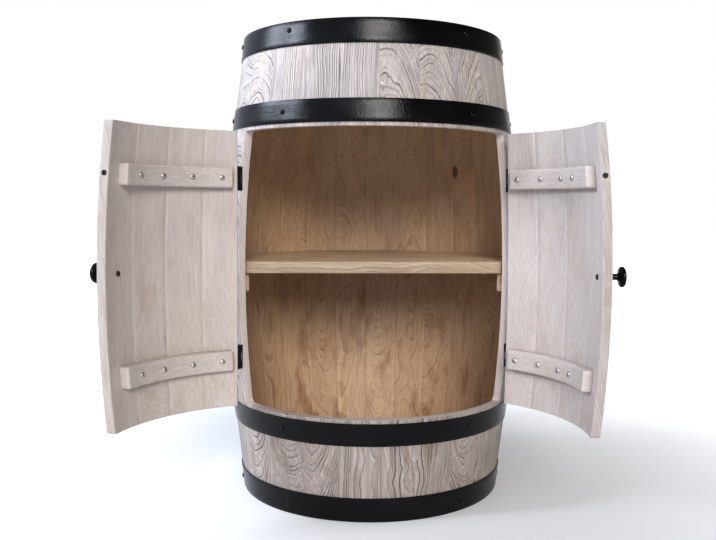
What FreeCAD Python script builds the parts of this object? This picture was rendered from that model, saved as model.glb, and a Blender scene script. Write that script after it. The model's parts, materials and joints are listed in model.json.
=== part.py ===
import FreeCAD, Part
import math
import os
from types import SimpleNamespace

import Sketcher

# Barrel bar cabinet.  A coopered barrel of 24 staves stands on the plane z = 0 with its axis on Z.
# Eight staves are cut short above and below a doorway, and the wood between them makes two curved
# doors.  The doorway faces -Y.  Places round the barrel are azimuths: degrees from the middle of the
# doorway, positive to the right of someone who faces it.  Lengths are in millimetres.
SIZES = {
    # The wooden shell: bent in the middle, straight towards the ends
    "total_height": 800,
    "belly_radius": 266,
    "bend_radius": 1870,
    "bend_half": 234,
    "stave_thickness": 13.5,
    "stave_angle": 15,
    # The doorway and the doors that fill it
    "doorway_angle": 60,
    "doorway_half": 230,
    "door_half": 226.5,
    "door_meeting_gap": 1.2,
    "left_door_open": 103.5,
    "right_door_open": 81.65,
    # The round heads, held in grooves near the staves' ends
    "head_recess": 20,
    "head_thickness": 18,
    "head_boards": 5,
    "head_bevel": 8.5,
    "tongue_thickness": 8,
    "croze_depth": 4.2,
    "fit_gap": 0.2,
    # The steel hoops, each a strip riveted to itself at the back
    "hoop_thickness": 2,
    "hoop_fit": 0.05,
    "end_hoop_inset": 0.5,
    "end_hoop_width": 40,
    "inner_hoop_offset": 254.4,
    "inner_hoop_width": 37,
    "lap_azimuth": 180,
    "lap_angle": 16,
    "rivet_azimuth": 4,
    # The shelf and the two curved cleats below it
    "shelf_top": 410,
    "shelf_thickness": 20,
    "shelf_front": 120,
    "shelf_gap": 0.6,
    "shelf_corner": 12,
    "cleat_start": 64,
    "cleat_end": 113.5,
    "cleat_height": 33,
    "cleat_thickness": 15,
    "cleat_easing": 6,
    # The curved battens inside each door
    "batten_start": 6.5,
    "batten_end": 56,
    "batten_offset": 150,
    "batten_height": 33,
    "batten_thickness": 15,
    "batten_easing": 4,
    # The knobs and the magnets that hold the doors shut
    "knob_azimuth": 7.6,
    "knob_level": 404,
    "knob_length": 28,
    "knob_radius": 15.5,
    "knob_neck": 4.5,
    "knob_neck_length": 14,
    "knob_rim": 3.5,
    "knob_dome": 4,
    "magnet_level": 551,
    "magnet_radius": 4,
    "magnet_depth": 5,
    # The hinges: the pin stands upright just outside the wall
    "hinge_radius": 265,
    "hinge_azimuth": 59.68,
    "hinge_offset": 150,
    "hinge_height": 40,
    "knuckle_radius": 3.5,
    "knuckle_half": 6.6,
    "knuckle_gap": 0.2,
    "pin_radius": 1.5,
    "pin_clearance": 0.05,
    "leaf_thickness": 1.6,
    "leaf_start": 1.9,
    "leaf_end": 22,
    "leaf_depth": 7.5,
    "leaf_screw_reach": 13,
    "leaf_screw_spread": 11,
    "seat_margin": 0.2,
    # The sloped edges that let the bulging doors turn on straight pins
    "edge_gap": 2,
    "edge_slope": 0.2126,
    "frame_edge": 1.5,
    "arris_depth": 1.5,
    "arris_slope": 0.268,
    "cutter_run": 40,
    # Fasteners
    "shank_radius": 2,
    "drill_clearance": 0.05,
    "hoop_screw_head": 4.25,
    "hoop_screw_dome": 2.4,
    "hoop_screw_length": 12,
    "pan_head": 4.25,
    "pan_dome": 2.6,
    "crown_share": 0.6,
    "head_standoff": 0.2,
    "batten_screw_length": 24,
    "cleat_screw_length": 24,
    "knob_screw_length": 23.5,
    "rivet_head": 4.5,
    "rivet_dome": 2,
    "rivet_shank": 2.5,
    "leaf_screw_head": 2.9,
    "leaf_screw_shank": 1.5,
    "leaf_screw_length": 10,
}
LEFT = -1
RIGHT = 1
HOOP_SCREW_AZIMUTHS = (-127.5, -82.5, -37.5, 37.5, 82.5, 127.5)
END_HOOP_SCREW_LEVEL = 14.5
CLEAT_SCREW_AZIMUTHS = (68, 88, 109)
BATTEN_SCREW_AZIMUTHS = {LEFT: (14.4, 25.7, 38.9, 51.3), RIGHT: (20, 28, 40, 52)}
SIDE_NAME = {LEFT: "left", RIGHT: "right"}

doc = FreeCAD.newDocument("BarrelBarCabinet")
sheet = doc.addObject("Spreadsheet::Sheet", "Sizes")
for row, (alias, number) in enumerate(SIZES.items(), 1):
    sheet.set(f"A{row}", alias)
    sheet.set(f"B{row}", str(number))
    sheet.setAlias(f"B{row}", alias)
doc.recompute()


class Size:
    """A number that keeps the sheet expression it comes from, through ordinary arithmetic."""

    def __init__(self, value, text):
        self.value = float(value)
        self.text = text

    def __add__(self, other):
        other = as_size(other)
        return Size(self.value + other.value, f"({self.text} + {other.text})")

    def __sub__(self, other):
        other = as_size(other)
        return Size(self.value - other.value, f"({self.text} - {other.text})")

    def __mul__(self, other):
        other = as_size(other)
        return Size(self.value * other.value, f"({self.text} * {other.text})")

    def __truediv__(self, other):
        other = as_size(other)
        return Size(self.value / other.value, f"({self.text} / {other.text})")

    def __neg__(self):
        return Size(-self.value, f"(0 - {self.text})")

    def __radd__(self, other):
        return as_size(other) + self

    def __rsub__(self, other):
        return as_size(other) - self

    def __rmul__(self, other):
        return as_size(other) * self


def as_size(number):
    """Any number as a Size."""
    return number if isinstance(number, Size) else Size(number, repr(float(number)))


def root(size):
    """Square root of a Size."""
    return Size(math.sqrt(size.value), f"sqrt({size.text})")


d = SimpleNamespace(**{name: Size(getattr(sheet, name), f"Sizes.{name}") for name in SIZES})
middle = d.total_height / 2
wall_hole = d.shank_radius + d.drill_clearance


# ---------------------------------------------------------------- building helpers
def bind(item, prop, size):
    """Tie a property to the sheet."""
    item.setExpression(prop, as_size(size).text)


def origin_plane(body, role):
    """One of a body's own base planes."""
    return next(item for item in body.Origin.OriginFeatures if item.Role == role)


def arc_middle(start, end, radius):
    """Middle point of an arc; a positive radius has its centre to the left of the way travelled."""
    chord = end.sub(start)
    rise = abs(radius) - math.sqrt(radius * radius - chord.Length ** 2 / 4)
    across = FreeCAD.Vector(chord.y, -chord.x, 0).normalize()
    return (start + end) / 2 + across * math.copysign(rise, radius)


def outline(body, plane, corners, lift=0, bore=None):
    """A closed sketch through corners (x, y) or (x, y, radius), the radius for an arc that ends there."""
    sketch = body.newObject("Sketcher::SketchObject", "Outline")
    sketch.AttachmentSupport = (origin_plane(body, plane), "")
    sketch.MapMode = "FlatFace"
    bind(sketch, "AttachmentOffset.Base.z", lift)
    points = [FreeCAD.Vector(as_size(c[0]).value, as_size(c[1]).value, 0) for c in corners]
    ends = []
    for index, corner in enumerate(corners):
        start = points[index - 1]
        end = points[index]
        if len(corner) == 2:
            edge = sketch.addGeometry(Part.LineSegment(start, end))
            ends.append((edge, 1, 2))
            continue
        radius = as_size(corner[2]).value
        top = arc_middle(start, end, radius)
        if radius > 0:
            edge = sketch.addGeometry(Part.Arc(start, top, end))
            ends.append((edge, 1, 2))
        else:
            edge = sketch.addGeometry(Part.Arc(end, top, start))
            ends.append((edge, 2, 1))
        fixed = sketch.addConstraint(Sketcher.Constraint("Radius", edge, abs(radius)))
        sketch.setExpression(f"Constraints[{fixed}]", f"abs({as_size(corner[2]).text})")
    for index, corner in enumerate(corners):
        edge, _, end = ends[index]
        after, start, _ = ends[(index + 1) % len(corners)]
        sketch.addConstraint(Sketcher.Constraint("Coincident", edge, end, after, start))
        for way, size in (("DistanceX", corner[0]), ("DistanceY", corner[1])):
            place = sketch.addConstraint(
                Sketcher.Constraint(way, -1, 1, edge, end, as_size(size).value))
            bind(sketch, f"Constraints[{place}]", size)
    if bore is not None:
        circle = Part.Circle(FreeCAD.Vector(), FreeCAD.Vector(0, 0, 1), bore.value)
        edge = sketch.addGeometry(circle)
        sketch.addConstraint(Sketcher.Constraint("Coincident", edge, 3, -1, 1))
        fixed = sketch.addConstraint(Sketcher.Constraint("Radius", edge, bore.value))
        bind(sketch, f"Constraints[{fixed}]", bore)
    return sketch


def new_body(label):
    """An empty body."""
    body = doc.addObject("PartDesign::Body", label)
    body.Label = label
    return body


def revolve(body, corners, angle=360):
    """Turn an outline in the body's XZ plane about its Z axis, half the angle to each side of X."""
    sketch = outline(body, "XZ_Plane", corners)
    turn = body.newObject("PartDesign::Revolution", "Turn")
    turn.Profile = sketch
    turn.ReferenceAxis = (sketch, ["V_Axis"])
    turn.Midplane = True
    bind(turn, "Angle", angle)


def pad(body, corners, length, lift=0, bore=None):
    """Raise an outline in the body's XY plane, half the length to each side of the sketch."""
    block = body.newObject("PartDesign::Pad", "Block")
    block.Profile = outline(body, "XY_Plane", corners, lift, bore)
    block.SideType = "Symmetric"
    bind(block, "Length", length)


def ease_edges(body, kind, prop, size, wanted):
    """Round or bevel those edges of a body that pass the test."""
    doc.recompute()
    feature = body.Tip
    names = []
    for index, edge in enumerate(feature.Shape.Edges, 1):
        half = (edge.FirstParameter + edge.LastParameter) / 2
        if wanted(edge.valueAt(half), edge):
            names.append(f"Edge{index}")
    eased = body.newObject(kind, "Eased")
    eased.Base = (feature, names)
    bind(eased, prop, size)


def polar(radius, azimuth, level):
    """A place on the barrel: local X points outwards, local Y to growing azimuth and Z up."""
    turn = FreeCAD.Rotation(FreeCAD.Vector(0, 0, 1), azimuth - 90)
    return FreeCAD.Placement(turn.multVec(FreeCAD.Vector(radius, 0, level)), turn)


def screw_place(radius, azimuth, level, tilt, outwards=True):
    """A place for a fastener whose head, on local +Z, faces out of the barrel or into it."""
    lean = 90 - tilt if outwards else 270 - tilt
    return polar(radius, azimuth, level) * FreeCAD.Placement(
        FreeCAD.Vector(), FreeCAD.Rotation(FreeCAD.Vector(0, 1, 0), lean))


def copies(label, master, places):
    """One group of like solids: the master's shape at each place."""
    doc.recompute()
    group = doc.addObject("Part::Feature", label)
    group.Shape = Part.makeCompound([master.Shape.transformed(p.toMatrix(), True) for p in places])
    return group


def cut(label, base, tools):
    """Cut a list of tools out of a base."""
    result = doc.addObject("Part::Cut", label)
    result.Base = base
    if len(tools) == 1:
        result.Tool = tools[0]
        return result
    result.Tool = doc.addObject("Part::MultiFuse", f"{label}_tools")
    result.Tool.Shapes = tools
    return result


def box(label, length, width, height, corner, place):
    """A block that starts at a corner of the place's own axes."""
    block = doc.addObject("Part::Box", label)
    bind(block, "Length", length)
    bind(block, "Width", width)
    bind(block, "Height", height)
    block.Placement = place * FreeCAD.Placement(FreeCAD.Vector(*corner), FreeCAD.Rotation())
    return block


nodes = {}


def keep(label, item, motion=FreeCAD.Placement()):
    """Hand a finished piece in under its own name, moved with the door that it belongs to."""
    item.Label = label
    item.Placement = motion * item.Placement
    nodes[label] = item


# ---------------------------------------------------------------- the shell's shape
def wall_radius(level):
    """Outer radius of the wood at a height above the floor."""
    off = level - middle
    flat = root(d.bend_radius * d.bend_radius - d.bend_half * d.bend_half)
    centre = d.belly_radius - d.bend_radius
    if abs(off.value) <= d.bend_half.value:
        return centre + root(d.bend_radius * d.bend_radius - off * off)
    reach = off if off.value > 0 else -off
    return centre + flat - (reach - d.bend_half) * d.bend_half / flat


def wall_tilt(level):
    """How far the wood's outward normal points up, in degrees."""
    off = max(-d.bend_half.value, min(d.bend_half.value, level - middle.value))
    return math.degrees(math.asin(off / d.bend_radius.value))


def wall_strip(low, high, skin, depth, grooves=()):
    """Outline of a strip of wall: skin lies its outer side off the wood's, depth is its thickness."""
    bends = [b for b in (middle - d.bend_half, middle + d.bend_half) if low.value < b.value < high.value]
    levels = [low] + bends + [high]
    outer = [(wall_radius(level) + skin, level) for level in levels]
    inner = [(wall_radius(level) + skin - depth, level) for level in levels]
    for bottom, top, reach in grooves:
        inner += [(wall_radius(top) + skin - depth, top), (reach, top)]
        inner += [(reach, bottom), (wall_radius(bottom) + skin - depth, bottom)]
    inner.sort(key=lambda corner: -corner[1].value)
    corners = []
    for index, (radius, level) in enumerate(outer + inner):
        before = (outer + inner)[index - 1][1]
        bent = abs((before.value + level.value) / 2 - middle.value) < d.bend_half.value
        if index == 0 or before.value == level.value or not bent:
            corners.append((radius, level))
        else:
            corners.append((radius, level, d.bend_radius if index < len(outer) else -d.bend_radius))
    return corners


def croze(low):
    """The groove round the inside of the staves that takes a head's tongue."""
    bottom = low + (d.head_thickness - d.tongue_thickness) / 2
    reach = wall_radius(bottom) - d.stave_thickness + d.croze_depth
    return bottom, bottom + d.tongue_thickness + d.fit_gap, reach


head_levels = {
    "top": d.total_height - d.head_recess - d.head_thickness,
    "bottom": d.head_recess,
}
grooves = {name: croze(level) for name, level in head_levels.items()}
hoops = {
    "top": (d.total_height - d.end_hoop_inset - d.end_hoop_width, d.total_height - d.end_hoop_inset),
    "upper": (middle + d.inner_hoop_offset - d.inner_hoop_width / 2,
              middle + d.inner_hoop_offset + d.inner_hoop_width / 2),
    "lower": (middle - d.inner_hoop_offset - d.inner_hoop_width / 2,
              middle - d.inner_hoop_offset + d.inner_hoop_width / 2),
    "bottom": (d.end_hoop_inset, d.end_hoop_inset + d.end_hoop_width),
}
hoop_screw_levels = {
    "top": d.total_height.value - END_HOOP_SCREW_LEVEL,
    "upper": (middle + d.inner_hoop_offset).value,
    "lower": (middle - d.inner_hoop_offset).value,
    "bottom": END_HOOP_SCREW_LEVEL,
}
hinge_levels = (middle + d.hinge_offset, middle - d.hinge_offset)
batten_levels = {"upper": middle + d.batten_offset, "lower": middle - d.batten_offset}
cleat_level = d.shelf_top - d.shelf_thickness - d.cleat_height / 2


# ---------------------------------------------------------------- fasteners
def rod(label, radius, low, length):
    """A six-sided rod on Z, for shanks and their holes: out of sight, they need no round face."""
    prism = doc.addObject("Part::Prism", label)
    prism.Polygon = 6
    bind(prism, "Circumradius", radius)
    bind(prism, "Height", length)
    bind(prism, "Placement.Base.z", low)
    return prism


def cone(label, low_radius, high_radius, low, height):
    """A round frustum on Z."""
    frustum = doc.addObject("Part::Cone", label)
    bind(frustum, "Radius1", low_radius)
    bind(frustum, "Radius2", high_radius)
    bind(frustum, "Height", height)
    bind(frustum, "Placement.Base.z", low)
    return frustum


def fuse(label, base, tool):
    """Two solids made one."""
    result = doc.addObject("Part::Fuse", label)
    result.Base = base
    result.Tool = tool
    return result


def button(label, head, height, shank, length):
    """A fastener with a raised head above its seat at z = 0 and a shank below it."""
    crown = cone(f"{label}_head", head, head * d.crown_share, as_size(0), height)
    return fuse(label, crown, rod(f"{label}_shank", shank, -length, length))


def countersunk(label, head, shank, length, extra, rise):
    """A flat-headed fastener, or with extra all round and a rise above z = 0 the hole that takes it."""
    taper = head - shank
    wide = cone(f"{label}_head", shank + extra, head + extra + rise, -taper, taper + rise)
    return fuse(label, wide, rod(f"{label}_shank", shank + extra, -length - extra, length + extra - taper))


def drill(label, radius, depth):
    """A drill that reaches as far below its place as above it."""
    return rod(label, radius, -depth, depth * 2)


hoop_screw = button("hoop_screw_master", d.hoop_screw_head, d.hoop_screw_dome, d.shank_radius,
                   d.hoop_screw_length)
batten_screw = button("batten_screw_master", d.pan_head, d.pan_dome, d.shank_radius, d.batten_screw_length)
cleat_screw = button("cleat_screw_master", d.pan_head, d.pan_dome, d.shank_radius, d.cleat_screw_length)
knob_screw = button("knob_screw_master", d.pan_head, d.pan_dome, d.shank_radius, d.knob_screw_length)
rivet = button("rivet_master", d.rivet_head, d.rivet_dome, d.rivet_shank, d.hoop_thickness * 2)
leaf_screw = countersunk("leaf_screw_master", d.leaf_screw_head, d.leaf_screw_shank, d.leaf_screw_length,
                         as_size(0), as_size(0))
leaf_hole = countersunk("leaf_hole_master", d.leaf_screw_head, d.leaf_screw_shank, d.leaf_screw_length,
                        d.drill_clearance, d.fit_gap)
hoop_drill = drill("hoop_drill", wall_hole, d.hoop_screw_length + d.fit_gap)
batten_drill = drill("batten_drill", wall_hole, d.batten_screw_length + d.fit_gap)
cleat_drill = drill("cleat_drill", wall_hole, d.cleat_screw_length + d.fit_gap)
knob_drill = drill("knob_drill", wall_hole, d.stave_thickness + d.fit_gap)
rivet_drill = drill("rivet_drill", d.rivet_shank + d.drill_clearance, d.hoop_thickness * 3)
magnet_drill = cone("magnet_drill", d.magnet_radius + d.drill_clearance, d.magnet_radius + d.drill_clearance,
                    -d.magnet_depth - d.fit_gap, (d.magnet_depth + d.fit_gap) * 2)

hoop_face = d.hoop_thickness + d.hoop_fit


def hoop_screw_places(name):
    """Where one hoop's screws sit, on the outside of the strip."""
    level = hoop_screw_levels[name]
    radius = wall_radius(as_size(level)) + hoop_face
    return {a: screw_place(radius.value, a, level, wall_tilt(level)) for a in HOOP_SCREW_AZIMUTHS}


def rivet_places(name):
    """Where one hoop's two rivets sit, on the outside of the lap."""
    level = hoop_screw_levels[name]
    radius = wall_radius(as_size(level)) + hoop_face + d.hoop_thickness
    spots = (d.lap_azimuth - d.rivet_azimuth, d.lap_azimuth + d.rivet_azimuth)
    return [screw_place(radius.value, a.value, level, wall_tilt(level)) for a in spots]


def batten_screw_places(side, name):
    """Where one batten's screws sit, on its inner face, heads towards the room inside."""
    level = batten_levels[name]
    radius = wall_radius(level) - d.stave_thickness - d.batten_thickness - d.head_standoff
    tilt = wall_tilt(level.value)
    return {a: screw_place(radius.value, side * a, level.value, tilt, False)
            for a in BATTEN_SCREW_AZIMUTHS[side]}


def cleat_screw_places(side):
    """Where one cleat's screws sit, on its inner face."""
    radius = wall_radius(cleat_level) - d.stave_thickness - d.cleat_thickness - d.head_standoff
    tilt = wall_tilt(cleat_level.value)
    return {a: screw_place(radius.value, side * a, cleat_level.value, tilt, False)
            for a in CLEAT_SCREW_AZIMUTHS}


def hinge_place(side, level):
    """The hinge pin's place: X outwards, Y to growing azimuth."""
    return polar(d.hinge_radius.value, side * d.hinge_azimuth.value, level.value)


def leaf_screw_places(side, level, way):
    """Two screw places on a leaf; way is 1 on the door's leaf and -1 on the frame's."""
    across = -side * way * d.leaf_screw_reach.value
    depth = (d.leaf_thickness - d.leaf_depth).value
    spread = d.leaf_screw_spread.value
    turn = FreeCAD.Rotation(FreeCAD.Vector(0, 1, 0), 90)
    return [hinge_place(side, level) * FreeCAD.Placement(FreeCAD.Vector(depth, across, up), turn)
            for up in (spread, -spread)]


# ---------------------------------------------------------------- the shell: full staves
def seat_boxes(side, way, label):
    """The pockets that a leaf is let into, above and below."""
    width = d.leaf_end + 0.5
    start = 0 if -side * way > 0 else -width.value
    height = d.hinge_height + d.seat_margin * 2
    corner = (-d.leaf_depth.value, start, -height.value / 2)
    return [box(f"{label}_seat_{i}", d.leaf_depth * 3, width, height, corner, hinge_place(side, level))
            for i, level in enumerate(hinge_levels)]


def arris_cutter(side):
    """The wood taken off the doorway's outer arris, so that the door's bulge clears it."""
    run = d.cutter_run
    body = new_body(f"{SIDE_NAME[side]}_arris_cutter")
    rise = d.arris_slope * run - d.arris_depth
    corners = [
        (-d.arris_depth, side * d.frame_edge),
        (rise, side * (d.frame_edge + run)),
        (rise + run, side * (d.frame_edge + run)),
        (rise + run, -side * d.frame_edge),
        (-d.arris_depth, -side * d.frame_edge),
    ]
    pad(body, corners, d.doorway_half * 2)
    body.Placement = hinge_place(side, middle)
    return body


def full_stave(number):
    """One of the sixteen staves that run the whole height."""
    label = f"stave_{number:02d}"
    azimuth = (d.doorway_angle + d.stave_angle * (number - 0.5)).value
    signed = azimuth if azimuth < 180 else azimuth - 360
    blank = new_body(f"{label}_blank")
    strip = wall_strip(as_size(0), d.total_height, as_size(0), d.stave_thickness, grooves.values())
    revolve(blank, strip, d.stave_angle)
    blank.Placement = polar(0, azimuth, 0)
    side = RIGHT if signed > 0 else LEFT
    reach = d.stave_angle.value / 2
    tools = []
    if signed in HOOP_SCREW_AZIMUTHS:
        places = [hoop_screw_places(name)[signed] for name in hoops]
        tools.append(copies(f"{label}_hoop_holes", hoop_drill, places))
    cleat_holes = [p for a, p in cleat_screw_places(side).items() if abs(side * a - signed) < reach]
    if cleat_holes:
        tools.append(copies(f"{label}_cleat_holes", cleat_drill, cleat_holes))
    if number in (1, 16):
        tools.append(arris_cutter(side))
        tools += seat_boxes(side, -1, label)
        holes = [p for level in hinge_levels for p in leaf_screw_places(side, level, -1)]
        tools.append(copies(f"{label}_leaf_holes", leaf_hole, holes))
    keep(label, cut(label, blank, tools) if tools else blank)


for stave_number in range(1, 17):
    full_stave(stave_number)


# ---------------------------------------------------------------- the shell: short staves
def short_staves(label, low, high, groove, hoop_names):
    """The eight staves cut short above or below the doorway."""
    staves = []
    for index in range(8):
        azimuth = (d.stave_angle * (index + 0.5) - d.doorway_angle).value
        blank = new_body(f"{label}_{index + 1}")
        revolve(blank, wall_strip(low, high, as_size(0), d.stave_thickness, [groove]), d.stave_angle)
        blank.Placement = polar(0, azimuth, 0)
        if azimuth in HOOP_SCREW_AZIMUTHS:
            places = [hoop_screw_places(name)[azimuth] for name in hoop_names]
            holes = copies(f"{label}_{index + 1}_holes", hoop_drill, places)
            blank = cut(f"{label}_{index + 1}_drilled", blank, [holes])
        staves.append(blank)
    group = doc.addObject("Part::Compound", label)
    group.Links = staves
    keep(label, group)


short_staves("upper_short_staves", middle + d.doorway_half, d.total_height, grooves["top"], ("top", "upper"))
short_staves("lower_short_staves", as_size(0), middle - d.doorway_half, grooves["bottom"],
             ("lower", "bottom"))


# ---------------------------------------------------------------- the heads
def head(name):
    """A round head of boards: bevelled on both faces down to a tongue that sits in the croze."""
    low = head_levels[name]
    high = low + d.head_thickness
    tongue_low, groove_top, groove_reach = grooves[name]
    tongue_high = groove_top - d.fit_gap
    tip = groove_reach - d.fit_gap
    lip = min((wall_radius(tongue_low), wall_radius(groove_top)), key=lambda r: r.value) - d.stave_thickness
    lip = lip - d.fit_gap
    disc = new_body(f"{name}_head_disc")
    revolve(disc, [
        (0, low), (lip - d.head_bevel, low), (lip, tongue_low), (tip, tongue_low),
        (tip, tongue_high), (lip, tongue_high), (lip - d.head_bevel, high), (0, high)])
    count = int(d.head_boards.value)
    width = tip * 2 / count
    boards = []
    for index in range(count):
        label = f"{name}_head_board_{index + 1}"
        corner = (-tip.value + index * width.value, -d.belly_radius.value, low.value - 1)
        strip = box(f"{label}_strip", width, d.belly_radius * 2, d.head_thickness + 2, corner,
                    FreeCAD.Placement())
        board = doc.addObject("Part::Common", label)
        board.Base = disc
        board.Tool = strip
        boards.append(board)
    group = doc.addObject("Part::Compound", f"{name}_head")
    group.Links = boards
    keep(f"{name}_head", group)


head("top")
head("bottom")


# ---------------------------------------------------------------- the hoops and their fasteners
def hoop(name):
    """A strip bent round the staves, its ends lapped at the back, drilled for screws and rivets."""
    low, high = hoops[name]
    label = f"hoop_{name}"
    ring = new_body(f"{label}_ring")
    revolve(ring, wall_strip(low, high, hoop_face, d.hoop_thickness))
    lap = new_body(f"{label}_lap")
    revolve(lap, wall_strip(low, high, hoop_face + d.hoop_thickness, d.hoop_thickness), d.lap_angle)
    lap.Placement = polar(0, d.lap_azimuth.value, 0)
    strap = fuse(f"{label}_strap", ring, lap)
    screw_holes = copies(f"{label}_screw_holes", hoop_drill, hoop_screw_places(name).values())
    rivet_holes = copies(f"{label}_rivet_holes", rivet_drill, rivet_places(name))
    keep(label, cut(label, strap, [screw_holes, rivet_holes]))


for hoop_name in hoops:
    hoop(hoop_name)
keep("hoop_screws", copies("hoop_screws", hoop_screw,
                           [place for name in hoops for place in hoop_screw_places(name).values()]))
keep("hoop_rivets", copies("hoop_rivets", rivet, [place for name in hoops for place in rivet_places(name)]))


# ---------------------------------------------------------------- the shelf and its cleats
def shelf():
    """A board with a straight front, cut round to the inside of the wall."""
    body = new_body("shelf")
    radius = wall_radius(d.shelf_top - d.shelf_thickness) - d.stave_thickness - d.shelf_gap
    half = root(radius * radius - d.shelf_front * d.shelf_front)
    corners = [
        (half, -d.shelf_front), (radius, 0, radius), (0, radius, radius),
        (-radius, 0, radius), (-half, -d.shelf_front, radius)]
    pad(body, corners, d.shelf_thickness, d.shelf_top - d.shelf_thickness / 2)

    def front_corner(middle_point, edge):
        """The two upright edges at the ends of the straight front."""
        upright = abs(edge.tangentAt(edge.FirstParameter).z) > 0.9
        return upright and abs(abs(middle_point.x) - half.value) < 1 and middle_point.y < 0

    ease_edges(body, "PartDesign::Fillet", "Radius", d.shelf_corner, front_corner)
    keep("shelf", body)


def curved_bar(label, level, height, thickness, start, end, easing):
    """A bar that follows the inside of the wall between two azimuths, eased round its inner face."""
    body = new_body(label)
    low = level - height / 2
    high = low + height
    back_low = wall_radius(low) - d.stave_thickness
    back_high = wall_radius(high) - d.stave_thickness
    revolve(body, [
        (back_low, low), (back_high, high), (back_high - thickness + easing, high),
        (back_high - thickness, high - easing), (back_low - thickness, low + easing),
        (back_low - thickness + easing, low)], end - start)
    inner_face = (wall_radius(level) - d.stave_thickness - thickness).value

    def end_edge(middle_point, edge):
        """The upright edges where the inner face meets the two ends."""
        reach = math.hypot(middle_point.x, middle_point.y)
        return reach < inner_face + 1 and abs(edge.tangentAt(edge.FirstParameter).z) > 0.9

    ease_edges(body, "PartDesign::Chamfer", "Size", easing / 2, end_edge)
    return body


def cleat(side):
    """A curved bar screwed to the wall under the shelf's edge."""
    label = f"{SIDE_NAME[side]}_shelf_cleat"
    bar = curved_bar(f"{label}_bar", cleat_level, d.cleat_height, d.cleat_thickness, d.cleat_start,
                     d.cleat_end, d.cleat_easing)
    bar.Placement = polar(0, side * (d.cleat_start + d.cleat_end).value / 2, 0)
    holes = copies(f"{label}_holes", cleat_drill, cleat_screw_places(side).values())
    keep(label, cut(label, bar, [holes]))


shelf()
cleat(LEFT)
cleat(RIGHT)
keep("cleat_screws", copies("cleat_screws", cleat_screw,
                            [p for side in (LEFT, RIGHT) for p in cleat_screw_places(side).values()]))


# ---------------------------------------------------------------- the hinges
def leaf(side, level, way, label):
    """One hinge leaf: a screwed plate, and a web that rises to its knuckles round the pin."""
    turn = -side * way
    body = new_body(f"{label}_blank")
    back = -d.leaf_depth
    front = d.leaf_thickness - d.leaf_depth
    plate = [
        (back, turn * d.leaf_start), (front, turn * d.leaf_start),
        (front, turn * d.leaf_end), (back, turn * d.leaf_end)]
    pad(body, plate, d.hinge_height)
    bow = d.knuckle_radius * -turn
    foot = root(d.knuckle_radius * d.knuckle_radius - d.leaf_start * d.leaf_start)
    web = [
        (back, turn * d.leaf_start), (back, turn * d.knuckle_radius), (0, turn * d.knuckle_radius),
        (d.knuckle_radius, 0, bow), (0, -turn * d.knuckle_radius, bow),
        (-foot, turn * d.leaf_start, bow)]
    bore = d.pin_radius + d.pin_clearance
    if way > 0:
        pad(body, web, d.knuckle_half * 2, bore=bore)
    else:
        start = d.knuckle_half + d.knuckle_gap
        length = d.hinge_height / 2 - start
        for up in (1, -1):
            pad(body, web, length, (start + length / 2) * up, bore)
    body.Placement = hinge_place(side, level)
    holes = copies(f"{label}_holes", leaf_hole, leaf_screw_places(side, level, way))
    return cut(label, body, [holes])


def leaves(label, side, way, motion=FreeCAD.Placement()):
    """The upper and the lower leaf on one side of a door's hinges."""
    group = doc.addObject("Part::Compound", label)
    group.Links = [leaf(side, level, way, f"{label}_{i}") for i, level in enumerate(hinge_levels, 1)]
    keep(label, group, motion)


for hinge_side in (LEFT, RIGHT):
    leaves(f"{SIDE_NAME[hinge_side]}_hinge_frame_leaves", hinge_side, -1)

pin = doc.addObject("Part::Cylinder", "pin_master")
bind(pin, "Radius", d.pin_radius)
bind(pin, "Height", d.hinge_height)
pin_drop = FreeCAD.Placement(FreeCAD.Vector(0, 0, -d.hinge_height.value / 2), FreeCAD.Rotation())
keep("hinge_pins", copies("hinge_pins", pin, [
    hinge_place(side, level) * pin_drop for side in (LEFT, RIGHT) for level in hinge_levels]))
keep("frame_hinge_screws", copies("frame_hinge_screws", leaf_screw, [
    place for side in (LEFT, RIGHT) for level in hinge_levels
    for place in leaf_screw_places(side, level, -1)]))


# ---------------------------------------------------------------- the doors
def swing(side):
    """The motion that takes a shut door to the way it stands here."""
    angle = d.left_door_open if side == LEFT else d.right_door_open
    pin_line = hinge_place(side, middle).Base
    turn = FreeCAD.Rotation(FreeCAD.Vector(0, 0, 1), side * angle.value)
    return FreeCAD.Placement(FreeCAD.Vector(), turn, pin_line)


def hinge_edge_cutter(side):
    """The wood taken off the door's hinge edge: undercut inwards, and sloped back at the outside."""
    run = d.cutter_run
    towards = -side
    body = new_body(f"{SIDE_NAME[side]}_edge_cutter")
    corner = d.edge_gap + d.edge_slope * d.arris_depth
    rise = d.arris_slope * run - d.arris_depth
    corners = [
        (-run, towards * (d.edge_gap + d.edge_slope * run)),
        (-d.arris_depth, towards * corner),
        (rise, towards * (corner + run)),
        (rise + run, towards * (corner + run)),
        (rise + run, -towards * run),
        (-run, -towards * run),
    ]
    pad(body, corners, d.door_half * 2 + 2)
    body.Placement = hinge_place(side, middle)
    return body


def magnet_place(side):
    """The magnet's place in the door's free edge: local +Z looks across at the other door."""
    middle_of_wood = (wall_radius(d.magnet_level) - d.stave_thickness / 2).value
    face = FreeCAD.Vector(side * d.door_meeting_gap.value, -middle_of_wood, d.magnet_level.value)
    return FreeCAD.Placement(face, FreeCAD.Rotation(FreeCAD.Vector(0, 1, 0), -side * 90))


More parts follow.
